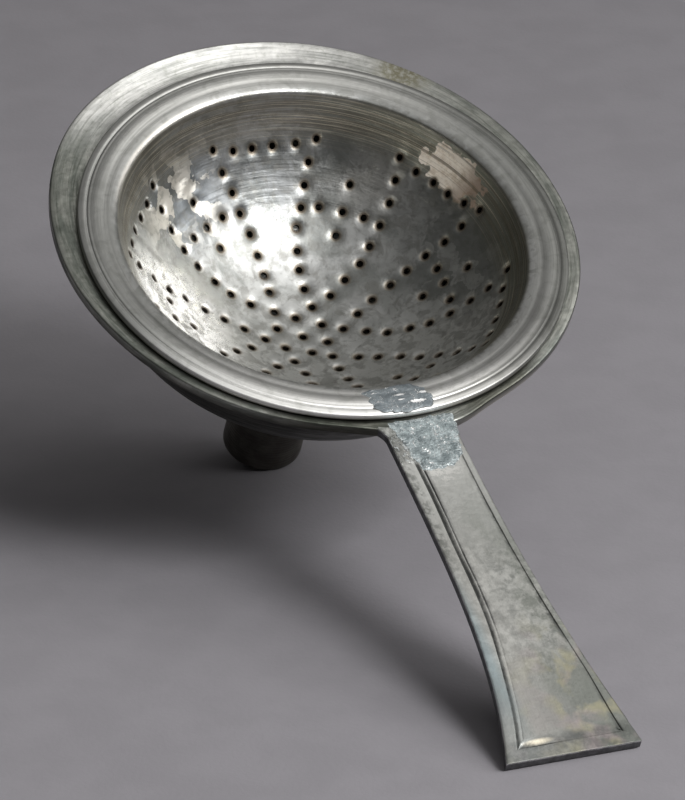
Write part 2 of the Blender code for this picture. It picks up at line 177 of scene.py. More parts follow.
def turned(profile, bend=None):
    """Turn a closed profile about the axis: points, faces and turn coordinates."""
    _, _, points, turn = revolve(profile, ROUND_STEPS, bend=bend)
    count = len(profile)
    faces = []
    for i in range(ROUND_STEPS):
        a, b = i * count, (i + 1) % ROUND_STEPS * count
        for j in range(count):
            k = (j + 1) % count
            faces.append((a + j, b + j, b + k, a + k))
    return points, faces, turn


# Holes of the strainer: six petals around a centre hole, measured along the curve of the bowl
HOLE_RADIUS = 0.00075
PATTERN_MARGIN = 0.0085
PETALS = 6
HEART_RING = 0.0053
VALLEY_REACH = 0.0085
SIDE_START = 0.01215
SIDE_PITCH = 0.00455
SIDE_HOLES = 8
PETAL_WAIST = 0.0038
PETAL_FLARE = 0.0094
TIP_ROW_HOLES = 4
CROSSBAR_REACH = 0.0311
CROSSBAR_SPREAD = 0.0050
CROSS_FOOT_REACH = 0.0260
CROSS_TIP_REACH = 0.0371
HOLE_STRAY = 0.00028
PATTERN_TURN = math.radians(-2.3)
PATTERN_STRETCH = (0.980, 1.024)
PATTERN_SHIFT = (0.0005, 0.0002)
HOLE_RINGS = (HOLE_RADIUS, 0.00088, 0.00105, 0.0013, 0.0017)
HOLE_STEPS = 18
GRID_PITCH = 0.0010
GRID_ROW = 0.866
GRID_CLEARANCE = 0.0021


def hole_places():
    """Every hole as (x, y) on the unrolled bowl, in metres of arc, a little astray as punched by hand."""
    last = SIDE_START + SIDE_PITCH * (SIDE_HOLES - 1)
    corner = PETAL_WAIST + PETAL_FLARE
    petal = [(HEART_RING, 0)]
    for along in np.linspace(SIDE_START, last, SIDE_HOLES):
        aside = PETAL_WAIST + PETAL_FLARE * ((along - SIDE_START) / (last - SIDE_START)) ** 2
        petal += [(along, aside), (along, -aside)]
    petal += [(last, aside) for aside in np.linspace(-corner, corner, TIP_ROW_HOLES + 2)[1:-1]]
    valley = [(reach, 0) for reach in (VALLEY_REACH, CROSS_FOOT_REACH, CROSSBAR_REACH, CROSS_TIP_REACH)]
    valley += [(CROSSBAR_REACH, CROSSBAR_SPREAD), (CROSSBAR_REACH, -CROSSBAR_SPREAD)]
    fit = (BOWL_ARC - PATTERN_MARGIN) / math.hypot(last, corner)
    stray = random.Random(11)
    places = [(0.0, 0.0)]
    for k in range(PETALS):
        for holes, shift in ((petal, 0), (valley, math.pi / PETALS)):
            turn = math.pi + math.tau * k / PETALS + shift
            for along, aside in holes:
                x = fit * along + stray.uniform(-HOLE_STRAY, HOLE_STRAY)
                y = fit * aside + stray.uniform(-HOLE_STRAY, HOLE_STRAY)
                angle = turn + PATTERN_TURN
                places.append((PATTERN_STRETCH[0] * (x * math.cos(angle) - y * math.sin(angle)),
                               PATTERN_STRETCH[1] * (x * math.sin(angle) + y * math.cos(angle))))
    return [(x + PATTERN_SHIFT[0], y + PATTERN_SHIFT[1]) for x, y in places]


def ring(centre, radius, count, offset=0.0):
    """Points around a circle."""
    angles = (np.arange(count) + offset) * math.tau / count
    return [(centre[0] + radius * math.cos(a), centre[1] + radius * math.sin(a)) for a in angles]


def bowl_net(holes):
    """Triangles of the unrolled bowl: points, faces, hole loops, the mouth's loop, and each point's hole."""
    tree = kdtree.KDTree(len(holes))
    for i, (x, y) in enumerate(holes):
        tree.insert((x, y, 0), i)
    tree.balance()
    points, edges, owner = [], [], []

    def add_loop(loop, hole, fixed):
        start = len(points)
        points.extend(loop)
        owner.extend([hole] * len(loop))
        if fixed:
            edges.extend((start + i, start + (i + 1) % len(loop)) for i in range(len(loop)))
        return list(range(start, len(points)))

    loops = []
    for i, hole in enumerate(holes):
        loops.append(add_loop(ring(hole, HOLE_RINGS[0], HOLE_STEPS), i, True))
        for level, radius in enumerate(HOLE_RINGS[1:], 1):
            add_loop(ring(hole, radius, HOLE_STEPS, 0.5 * (level % 2)), -1, False)
    mouth = add_loop(ring((0, 0), BOWL_ARC, FLANGE_STEPS), -1, True)
    add_loop(ring((0, 0), BOWL_ARC - 0.7 * GRID_PITCH, FLANGE_STEPS // 2, 0.5), -1, False)
    reach = BOWL_ARC - 1.5 * GRID_PITCH
    rows = int(reach / (GRID_PITCH * GRID_ROW)) + 1
    for row in range(-rows, rows + 1):
        y = row * GRID_PITCH * GRID_ROW
        for column in range(-rows - 1, rows + 2):
            x = (column + 0.5 * (row % 2)) * GRID_PITCH
            if math.hypot(x, y) < reach and tree.find((x, y, 0))[2] > GRID_CLEARANCE:
                points.append((x, y))
                owner.append(-1)
    scaled = [Vector((x / MM, y / MM)) for x, y in points]
    flat, _, faces, origin, _, _ = delaunay_2d_cdt(scaled, edges, [], 0, 1e-5)
    index = {old: new for new, olds in enumerate(origin) for old in olds}
    owner_of = [-1] * len(flat)
    for old, hole in enumerate(owner):
        owner_of[index[old]] = max(owner_of[index[old]], hole)
    kept = [f for f in faces if not (owner_of[f[0]] >= 0 and len({owner_of[v] for v in f}) == 1)]
    flat = np.array([(v.x * MM, v.y * MM) for v in flat])
    near = np.array([tree.find((x, y, 0))[1:] for x, y in flat])
    loops = [[index[v] for v in loop] for loop in loops]
    return flat, kept, loops, [index[v] for v in mouth], near


# Flange of the strainer: the bend and end of its roll, and its moulding beside the cut line in millimetres
FLANGE_LINE_INSET = 0.00175
MOUTH_BEND = (0.0004, 0.00088)
MOUTH_ROLL = (0.0029, 0.00092)
FLANGE_CROWN = 0.0007
BAND_END = (-0.00060, 0.00013)
MOULDING = ((-0.42, 0.17), (-0.24, 0.12), (-0.08, -0.03), (0.08, -0.03), (0.24, 0.05), (0.44, 0.10),
            (0.85, 0.10))
FLANGE_ROUND = 0.00032
FLANGE_FOOT_ROUND = 0.0004


def flange_profile():
    """Strainer's flange from the mouth to the seat: roll, rising band, cut line, flat edge, underside."""
    top, edge = FLANGE_THICKNESS, STRAINER_RADIUS
    line = edge - FLANGE_LINE_INSET
    mouth = np.array([MOUTH_RADIUS, MOUTH_HEIGHT])
    bend, end = mouth + MOUTH_BEND, mouth + MOUTH_ROLL
    profile = []
    for t in np.linspace(0.06, 1, 11):
        profile.append(tuple((1 - t) ** 2 * mouth + 2 * t * (1 - t) * bend + t * t * end))
    last = (line + BAND_END[0], top + BAND_END[1])
    for t in np.linspace(0, 1, 9)[1:]:
        crown = FLANGE_CROWN * t * (1 - t)
        profile.append((end[0] + (last[0] - end[0]) * t, end[1] + (last[1] - end[1]) * t + crown))
    profile += [(line + out * MM, top + rise * MM) for out, rise in MOULDING]
    profile.append((edge - 0.00046, top + 0.00002))
    profile += arc(edge - FLANGE_ROUND, top - FLANGE_ROUND, FLANGE_ROUND, 75, 0, 5)
    profile += arc(edge - FLANGE_FOOT_ROUND, FLANGE_FOOT_ROUND, FLANGE_FOOT_ROUND, 0, -90, 5)
    seat = (SPHERE_RADIUS + BOWL_WALL) * math.sin(SEAT_ANGLE)
    profile += [(r, 0.0) for r in np.linspace(edge - 0.0012, seat, 6)[:-1]]
    return profile


# Relief of the strainer's bowl
DIMPLE_DEPTH = 0.00036
DIMPLE_SPREAD = (0.65, 1.3)
DIMPLE_WIDTH = 0.00075
HAMMER_DEPTH = 0.00010
HAMMER_SIZE = 0.0062
DENT_DEPTH = 0.00050
DENT_SIZE = 0.0036
DENT_TURN = math.radians(-97)
DENT_START = (0.014, 0.026)
CREASE_PLACE = (-0.0360, -0.0200)
CREASE_REACH = 0.0075
CREASE_SIZE = 0.0046
CREASE_DEPTH = 0.0006
MOUTH_FADE = (0.006, 0.0015)
HOLE_GRIME = 0.00060
LINE_GRIME = 0.00020


def bowl_relief(flat, reach, angle, near, holes):
    """How far dimples, hammer marks, dents and creases push the wall outward, and the soil at the holes."""
    depth = random.Random(5)
    strength = np.array([depth.uniform(*DIMPLE_SPREAD) for _ in holes])
    away = np.maximum(near[:, 1] - HOLE_RADIUS, 0)
    dimple = DIMPLE_DEPTH * strength[near[:, 0].astype(int)] * np.exp(-(away / DIMPLE_WIDTH) ** 1.6)
    hammer = (waves(flat, HAMMER_SIZE, 3.1) + 0.35 * waves(flat, HAMMER_SIZE / 2.6, 8.7)) * HAMMER_DEPTH
    dented = np.clip(np.cos(angle - DENT_TURN), 0, 1) ** 2 * smooth(reach, *DENT_START)
    dents = np.abs(waves(flat, DENT_SIZE, 6.3)) * DENT_DEPTH
    creased = np.exp(-((flat - CREASE_PLACE) ** 2).sum(1) / CREASE_REACH ** 2)
    creases = np.abs(waves(flat, CREASE_SIZE, 9.4)) * CREASE_DEPTH
    inside = 1 - smooth(reach, BOWL_ARC - MOUTH_FADE[0], BOWL_ARC - MOUTH_FADE[1])
    pushed = dimple + (hammer + dented * dents + creased * creases) * inside
    return pushed, np.exp(-(away / HOLE_GRIME) ** 2)


def make_strainer(material):
    """Pierced round bowl with dimpled holes and hammered walls, and its moulded flange, as one skin."""
    holes = hole_places()
    flat, faces, loops, mouth, near = bowl_net(holes)
    count = len(flat)
    reach = np.hypot(flat[:, 0], flat[:, 1])
    angle = np.arctan2(flat[:, 1], flat[:, 0])
    pushed, hole_grime = bowl_relief(flat, reach, angle, near, holes)

    def wall(radius, share):
        polar = reach / SPHERE_RADIUS * share
        out = radius + pushed
        return np.stack([out * np.sin(polar) * np.cos(angle), out * np.sin(polar) * np.sin(angle),
                         SPHERE_HEIGHT - out * np.cos(polar)], -1)

    points = [wall(SPHERE_RADIUS, 1), wall(SPHERE_RADIUS + BOWL_WALL, SEAT_ANGLE / MOUTH_ANGLE)]
    every = [tuple(f) for f in faces] + [tuple(count + v for v in f[::-1]) for f in faces]
    for loop in loops:
        for a, b in zip(loop, loop[1:] + loop[:1]):
            every.append((a, b, count + b, count + a))
    profile = flange_profile()
    radius, height, flange, flange_turn = revolve(profile, FLANGE_STEPS, BOWL_ARC)
    points.append(flange)
    first, rows = 2 * count, len(profile)
    lengths = [[mouth[i], *range(first + i * rows, first + (i + 1) * rows), count + mouth[i]]
               for i in range(FLANGE_STEPS)]
    for a, b in zip(lengths, lengths[1:] + lengths[:1]):
        for k in range(rows + 1):
            every.append((a[k], a[k + 1], b[k + 1], b[k]))
    turn = [turn_coordinates(angle, reach), turn_coordinates(angle, reach + OUTSIDE_RUN), flange_turn]
    line = STRAINER_RADIUS - FLANGE_LINE_INSET
    groove = 0.5 * np.exp(-((radius - line) / LINE_GRIME) ** 2) * (height > FLANGE_THICKNESS / 2)
    # Painted shade on the lower part of the flange's edge, over the gap to the funnel
    groove = np.maximum(groove, 0.8 * (1 - smooth(height, 0.0003, 0.0011)) * (radius > line))
    grime_and_shade = np.concatenate([hole_grime, hole_grime, groove.ravel()])
    points = np.concatenate(points) + np.array([STRAINER_SHIFT, 0, SEAT_HEIGHT])
    add_piece("strainer_skin", "strainer", "strainer", material, points, every,
              {"turn": np.concatenate(turn), "grime_and_shade": grime_and_shade})


# Rim of the funnel: its lift behind, and its bulges as turn and spread in degrees and growth
RIM_LIFT = 0.0014
RIM_DISH = 0.0006
RIM_LIFT_START = 0.0495
RIM_LIFT_TURN = -168
RIM_LIFT_SPREAD = 32
RIM_STRAY = 0.00012
RIM_STRAY_SIZE = 0.55
RIM_BULGES = ((-137, 24, 0.0013), (155, 22, 0.0005), (98, 30, -0.0006), (-70, 24, -0.0005), (0, 9.5, 0.0021),
              (10.5, 7.2, 0.0013))
RIM_CROWN = 0.00006
UNDER_ROUND = 0.0010
BEAD_INNER_ROUND = 0.0005
BEAD_LOW_ROUND = 0.0008
BEAD_TOP_ROUND = 0.00045
FUNNEL_MOUTH_ROUND = 0.0008
FUNNEL_ROWS = 26


def hump(angle, turn, spread):
    """1 where an angle meets a turn, fading to 0 over a spread in degrees."""
    away = np.degrees(np.angle(np.exp(1j * (angle - math.radians(turn)))))
    return np.exp(-(away / spread) ** 2)


def rim_wobble(radius, height, angle):
    """The rim is out of round by hand and by age, widens at the handle, and is bent up a little behind."""
    share = smooth(radius, FUNNEL_MOUTH_RADIUS, RIM_RADIUS)
    circle = [(math.cos(a), math.sin(a)) for a in angle[:, 0]]
    around = waves(circle, RIM_STRAY_SIZE, 4.2)[:, None] * RIM_STRAY
    for turn, spread, grow in RIM_BULGES:
        around = around + grow * hump(angle[:, :1], turn, spread)
    bent = hump(angle, RIM_LIFT_TURN, RIM_LIFT_SPREAD)
    rise = np.clip((radius - RIM_LIFT_START) / (RIM_RADIUS - RIM_LIFT_START), 0, 1)
    lift = bent * (RIM_LIFT * rise ** 1.1 - RIM_DISH * (1 - rise) * share)
    return radius + share * around, height + lift


def make_funnel(material):
    """Bowl with a flat rim whose edge is a thick rolled bead."""
    across, deep = FUNNEL_OUTSIDE
    edge, inside = RIM_RADIUS, RIM_RADIUS - BEAD_WIDTH
    under, foot = -FUNNEL_FLANGE_THICKNESS, -BEAD_HEIGHT
    profile = []
    last = math.asin(FUNNEL_FLANGE_THICKNESS / deep) + 0.03
    for a in np.linspace(math.acos(SPOUT_BORE / across), last, FUNNEL_ROWS):
        profile.append((across * math.cos(a), -deep * math.sin(a)))
    profile += arc(across + 0.0012, under - UNDER_ROUND, UNDER_ROUND, 165, 90, 4)
    profile += [(inside - 0.0006, under), (inside - 0.0001, under - 0.0002)]
    profile += arc(inside + BEAD_INNER_ROUND, foot + BEAD_INNER_ROUND, BEAD_INNER_ROUND, 180, 270, 4)
    profile += arc(edge - BEAD_LOW_ROUND, foot + BEAD_LOW_ROUND, BEAD_LOW_ROUND, -90, 0)
    profile += arc(edge - BEAD_TOP_ROUND, -BEAD_TOP_ROUND, BEAD_TOP_ROUND, 0, 90)
    mouth = FUNNEL_MOUTH_RADIUS + FUNNEL_MOUTH_ROUND
    for r in np.linspace(edge - 0.0009, mouth + 0.0006, 12):
        crown = ((r - mouth) / (edge - mouth) - 0.6) * 2
        profile.append((r, RIM_CROWN * (1 - crown * crown)))
    profile += arc(mouth, -FUNNEL_MOUTH_ROUND, FUNNEL_MOUTH_ROUND, 90, 180, 5)
    first, last = math.asin(0.0012 / FUNNEL_DEPTH), math.acos(SPOUT_BORE / FUNNEL_MOUTH_RADIUS)
    for a in np.linspace(first, last, FUNNEL_ROWS):
        profile.append((FUNNEL_MOUTH_RADIUS * math.cos(a), -FUNNEL_DEPTH * math.sin(a)))
    points, faces, turn = turned(profile, rim_wobble)
    heights = np.tile(np.array(profile)[:, 1], ROUND_STEPS)
    top = smooth(heights, -0.0008, -0.0003)
    add_piece("funnel_skin", "funnel", "funnel_bowl", material, points, faces,
              {"turn": turn, "top": top})


# Spout: its turned lines, its lip of solder in millimetres, and how far its end stands askew
RIB_PITCH = 0.0008
RIB_DEPTH = 0.00006
SPOUT_INNER_ROUND = 0.0003
SPOUT_OUTER_ROUND = 0.0006
SPOUT_LIP = ((0.1, -1.4), (0.5, -0.6), (1.3, 0.2))
SPOUT_BEND = (-0.00226, -0.00058, -0.00105)


def make_spout(material):
    """Tube with fine turned lines, a rounded end and a lip of solder under the bowl."""
    across, deep = FUNNEL_OUTSIDE
    top = -deep * math.sqrt(1 - (SPOUT_RADIUS / across) ** 2)
    top_inside = -deep * math.sqrt(1 - (SPOUT_BORE / across) ** 2)
    profile = [(SPOUT_BORE, top_inside), (SPOUT_BORE, SPOUT_END + 0.0005)]
    inner, outer = SPOUT_INNER_ROUND, SPOUT_OUTER_ROUND
    profile += arc(SPOUT_BORE + inner, SPOUT_END + inner, inner, 180, 270, 4)
    profile += arc(SPOUT_RADIUS - outer, SPOUT_END + outer, outer, -90, 0)
    low, high = SPOUT_END + 0.0012, top - 0.0022
    for z in np.linspace(low, high, int((high - low) / RIB_PITCH * 5)):
        fade = smooth(z, low, low + 0.001) * (1 - smooth(z, high - 0.001, high))
        profile.append((SPOUT_RADIUS - RIB_DEPTH * (1 + math.sin(math.tau * z / RIB_PITCH)) * fade, z))
    profile += [(SPOUT_RADIUS + out * MM, top + rise * MM) for out, rise in SPOUT_LIP]
    points, faces, turn = turned(profile)
    down = 1 - smooth(points[:, 2], SPOUT_END, top)
    points = points + down[:, None] * np.array(SPOUT_BEND)
    add_piece("spout_skin", "funnel", "spout", material, points, faces, {"turn": turn})


# Handle: its sides as direction, half width, power of the flare, and depth and length of the root
HANDLE_SIDES = ((-1, 0.0066, 3.4, 0.0015, 0.0032), (1, 0.0078, 2.2, 0.0012, 0.0032))
WAIST = RIM_RADIUS + 0.0080
HANDLE_THICKNESS = 0.0022
HANDLE_ROOT_LAP = 0.0022
HANDLE_OVER = 0.00003
END_SLANT = 0.025
END_OVER = 0.00035
SAG_POWER = 1.5
LEFT_BORDER = 0.0027
RIGHT_BORDER = 0.0013
RIGHT_BORDER_GROWTH = 0.0010
END_BORDER = 0.0029
GROOVE_DEPTH = 0.00048
GROOVE_WALL = 0.00020
GROOVE_SLOPE = 0.0012
GROOVE_START = 0.0625
PANEL_SINK = 0.00004
SECOND_LINE = 0.00125
SECOND_LINE_WIDTH = 0.00017
SECOND_LINE_DEPTH = 0.00022
EDGE_ROUND = 0.0004
EDGE_DROP = 0.00010
END_ROUND = 0.00012
END_DROP = 0.00002
UNDERSIDE_ROUND = 0.0003

# Stations of the handle's mesh in millimetres: before its end, beside its edges and across its grooves
END_STATIONS = (4.6, 4.3, 4.0, 3.7, 3.4, 3.2, 3.08, 3.0, 2.94, 2.88, 2.82, 2.7, 2.4, 2.0, 1.5, 1.0, 0.7,
                0.45, 0.3, 0.2, 0.1, 0.0)
EDGE_STATIONS = (0, 0.1, 0.2, 0.4)
GROOVE_STATIONS = (-0.5, -0.2, -0.09, -0.05, -0.01, 0.03, 0.08, 0.14, 0.25, 0.4, 0.6, 0.8, 0.95, 1.06, 1.15,
                   1.25, 1.35, 1.44, 1.56)


def handle_edges(x):
    """Left and right edge of the handle at a place along it, each with its own flare and root."""
    run = np.clip((x - WAIST) / (HANDLE_REACH - WAIST), 0, 1)
    edges = []
    for side, half, power, depth, length in HANDLE_SIDES:
        width = half + (HANDLE_END_HALF - half) * run ** power
        edges.append(side * (width + depth * np.clip(1 - (x - RIM_RADIUS) / length, 0, 1) ** 2))
    return edges


def floor_height(x):
    """Height of the floor under the handle, in the upright frame."""
    return (x * math.sin(LEAN) - STAND.translation.z) / math.cos(LEAN)


def handle_end(y):
    """Place of the end, which is cut a little aslant."""
    return HANDLE_REACH + END_OVER + END_SLANT * y


def handle_sag(x, y):
    """How far the handle bends down, so that its end lies on the floor."""
    run = np.clip((x - WAIST) / (handle_end(y) - WAIST), 0, 1)
    return (floor_height(handle_end(y)) + HANDLE_THICKNESS) * run ** SAG_POWER


def handle_borders(x):
    """Width of the left and right border, cut by hand."""
    left = LEFT_BORDER + 0.0005 * wave(x, 0, 0.024, 2.6)
    right = RIGHT_BORDER + RIGHT_BORDER_GROWTH * smooth(x, 0.120, 0.139) + 0.0002 * wave(x, 0, 0.03, 7.1)
    return left, right


def groove_cut(side, x, y):
    """Depth and slope of the groove beside a border, cut by hand: shallow on the right and at the end."""
    depth, slope = 1.0, 1.0
    if side == "right":
        depth = 0.45 + 0.35 * wave(x, 0, 0.013, 8.8) - 0.15 * smooth(x, 0.095, 0.115)
    if side == "left":
        far = smooth(x, 0.098, 0.118)
        slope = 1 - 0.45 * far
        depth = 0.9 - 0.35 * far + 0.3 * wave(x, 0, 0.012, 5.9)
    if side == "end":
        slope = 1 + 1.2 * (1 - smooth(y, -0.0085, -0.0020))
        depth = max(0.05 + 0.08 * wave(0, y, 0.006, 4.4), 0) + 0.55 * (1 - smooth(y, -0.0085, -0.0030))
    return GROOVE_DEPTH * depth, GROOVE_SLOPE * slope


def handle_top(x, y):
    """Height of the handle's upper side, and how deep in a groove a place is."""
    left, right = handle_edges(x)
    left_border, right_border = handle_borders(x)
    end_inset = handle_end(y) - x
    inside = {"left": y - left - left_border, "right": right - y - right_border,
              "end": end_inset - END_BORDER}
    side = min(inside, key=inside.get)
    t = inside[side]
    depth, slope = groove_cut(side, x, y)
    fade = smooth(x, GROOVE_START, GROOVE_START + 0.004)
    down = smooth(t, -0.5 * GROOVE_WALL, 0.5 * GROOVE_WALL)
    rise = smooth(t, 0.3 * GROOVE_WALL, slope)
    height = -fade * down * (depth + (PANEL_SINK - depth) * rise)
    second = 0.0
    if side == "left":
        second = fade * math.exp(-((t - SECOND_LINE) / SECOND_LINE_WIDTH) ** 2)
        second = max(second * (0.6 + 0.8 * wave(x, 0, 0.011, 3.3)), 0)
        second *= 1 - 0.8 * smooth(x, 0.100, 0.112)
        height -= SECOND_LINE_DEPTH * second
    inset = min(y - left, right - y)
    height -= EDGE_DROP * (1 - min(inset, EDGE_ROUND) / EDGE_ROUND) ** 2
    height -= END_DROP * (1 - min(end_inset, END_ROUND) / END_ROUND) ** 2
    height += 0.00005 * wave(x, y, 0.009, 1.7) + 0.00012 * wave(x, y, 0.021, 5.2)
    dark = max(fade * down * (1 - rise) * depth / GROOVE_DEPTH, second)
    return height + handle_sag(x, y), dark


def make_handle(material):
    """Flat flared handle with a cut border, whose end lies on the floor."""
    stations = list(np.linspace(RIM_RADIUS + 0.0002, WAIST, 14))
    stations += list(np.linspace(WAIST, HANDLE_REACH - 0.005, 72))[1:]
    root = RIM_RADIUS - HANDLE_ROOT_LAP
    places = [root] + stations + [d * MM for d in END_STATIONS]
    margin = [d * MM for d in EDGE_STATIONS]
    steps = [d * MM for d in GROOVE_STATIONS]
    top, under, grime_and_shade = [], [], []
    for i, place in enumerate(places):
        ending = i > len(stations)
        x = HANDLE_REACH - place if ending else place
        left, right = handle_edges(x)
        left_border, right_border = handle_borders(x)
        lefts = margin + [0.5 * left_border] + [left_border + d for d in steps]
        rights = margin + [0.6 * right_border] + [right_border + d for d in steps]
        middle = np.linspace(left + lefts[-1], right - rights[-1], 14)[1:-1]
        for y in [left + d for d in lefts] + list(middle) + [right - d for d in rights[::-1]]:
            along = handle_end(y) - place if ending else x
            if i == 0:
                along = math.sqrt(root ** 2 - y ** 2)
            height, dark = handle_top(along, y)
            inset = min(y - left, right - y, handle_end(y) - along)
            lift = UNDERSIDE_ROUND * (1 - min(inset, EDGE_ROUND) / EDGE_ROUND) ** 2
            low = handle_sag(along, y) - HANDLE_THICKNESS + lift
            top.append((along, y, height + HANDLE_OVER))
            under.append((along, y, max(low, floor_height(along))))
            grime_and_shade.append(dark)
    rows, columns = len(places), len(top) // len(places)
    faces = []
    for i in range(rows - 1):
        for j in range(columns - 1):
            a = i * columns + j
            faces.append((a, a + 1, a + columns + 1, a + columns))
            b = rows * columns + a
            faces.append((b, b + columns, b + columns + 1, b + 1))
    edge = [i * columns for i in range(rows)] + [(rows - 1) * columns + j for j in range(1, columns)]
    edge += [i * columns + columns - 1 for i in range(rows - 2, -1, -1)] + list(range(columns - 2, 0, -1))
    size = rows * columns
    for a, b in zip(edge, edge[1:] + edge[:1]):
        faces.append((a, b, size + b, size + a))
    upper = np.concatenate([np.ones(size), np.zeros(size)])
    add_piece("handle_skin", "funnel", "handle", material, top + under, faces,
              {"grime_and_shade": grime_and_shade + [0.0] * size, "upper": upper}, crease=50)


# Solder: raggedness as share and size, lumps as share, size and shift of seed, and corners in millimetres
SOLDER_STEPS = 120
SOLDER_RINGS = 22
SOLDER_FOOT = 0.00012
SOLDER_SINK = 0.00003
SOLDER_CORNER = 0.7
RAGGED = ((0.07, 0.0013), (0.045, 0.0005))
LUMPS = ((0.28, 0.0035, 0), (0.2, 0.0011, 2), (0.10, 0.00045, 5))
FLANGE_PATCH = ((47.0, -8.8), (46.6, -8.2), (46.2, -6.0), (46.5, -4.4), (46.0, -2.2), (45.8, 0.9),
                (46.0, 2.3), (47.3, 3.9), (47.9, 4.6), (49.3, 4.6), (50.2, 5.2), (52.2, 5.3),
                (53.2, 4.2), (53.5, 2.0), (53.7, -2.3), (53.2, -4.4), (53.0, -6.0), (51.4, -7.6),
                (50.6, -7.4), (49.6, -8.0), (48.4, -7.7))
TONGUE = ((53.9, -5.5), (54.1, 0.6), (53.8, 5.8), (54.1, 9.0), (57.6, 8.7), (61.4, 7.5), (64.9, 6.9),
          (67.7, 3.5), (68.2, -0.4), (67.2, -2.8), (63.8, -3.8), (60.3, -4.2), (57.2, -5.0))


def spline_loop(corners, count):
    """A closed loop through corners given in millimetres, part straight and part smooth."""
    corners = np.array(corners) * MM
    total = len(corners)
    loop = []
    for i in range(count):
        place = i * total / count
        k, t = int(place), place % 1
        p, q, r, s = (corners[(k + n) % total] for n in (-1, 0, 1, 2))
        curve = 2 * q + (r - p) * t + (2 * p - 5 * q + 4 * r - s) * t ** 2 + (3 * q - p - 3 * r + s) * t ** 3
        loop.append(SOLDER_CORNER * (q + (r - q) * t) + (1 - SOLDER_CORNER) * 0.5 * curve)
    return np.array(loop)


def make_patch(name, body, node, material, corners, ground, thickness, seed):
    """Ragged lump of old solder on a surface whose height is ground(x, y)."""
    loop = spline_loop(corners, SOLDER_STEPS)
    middle = loop.mean(0)
    ragged = 1 + sum(share * waves(loop, size, seed) for share, size in RAGGED)
    loop = middle + (loop - middle) * ragged[:, None]
    points, edge_share = [], []
    for share in np.linspace(0, 1, SOLDER_RINGS)[1:] ** 0.8:
        for x, y in middle + (loop - middle) * share:
            lump = 0.72 + sum(part * wave(x, y, size, seed + shift) for part, size, shift in LUMPS)
            rise = thickness * lump * (1 - share ** 7) ** 0.6
            points.append((x, y, ground(x, y) + rise))
            edge_share.append(share)
    for x, y in loop:
        points.append((x, y, ground(x, y) - SOLDER_FOOT))
        edge_share.append(1.0)
    top = len(points)
    points.append((*middle, ground(*middle) + 0.75 * thickness))
    points.append((*middle, ground(*middle) - SOLDER_FOOT))
    edge_share += [0.0, 0.0]
    faces = []
    for i in range(SOLDER_STEPS):
        j = (i + 1) % SOLDER_STEPS
        faces.append((top, i, j))
        for k in range(SOLDER_RINGS - 1):
            a, b = k * SOLDER_STEPS, (k + 1) * SOLDER_STEPS
            faces.append((a + i, b + i, b + j, a + j))
        last = (SOLDER_RINGS - 1) * SOLDER_STEPS
        faces.append((last + j, last + i, top + 1))
    add_piece(name, body, node, material, points, faces, {"edge": edge_share}, crease=70)


def flange_ground(x, y):
    """Height of the strainer's flange under its patch of solder, which fills the cut line."""
    radius = math.hypot(x - STRAINER_SHIFT, y)
    profile = [p for p in flange_profile() if p[1] > 0.0006]
    height = np.interp(radius, [p[0] for p in profile], [p[1] for p in profile])
    if radius > STRAINER_RADIUS - FLANGE_LINE_INSET - 0.0005:
        height = max(height, FLANGE_THICKNESS + 0.00016)
    return SEAT_HEIGHT + height - SOLDER_SINK


def handle_ground(x, y):
    """Height of the handle's root under its tongue of solder."""
    return handle_top(x, y)[0] - SOLDER_SINK


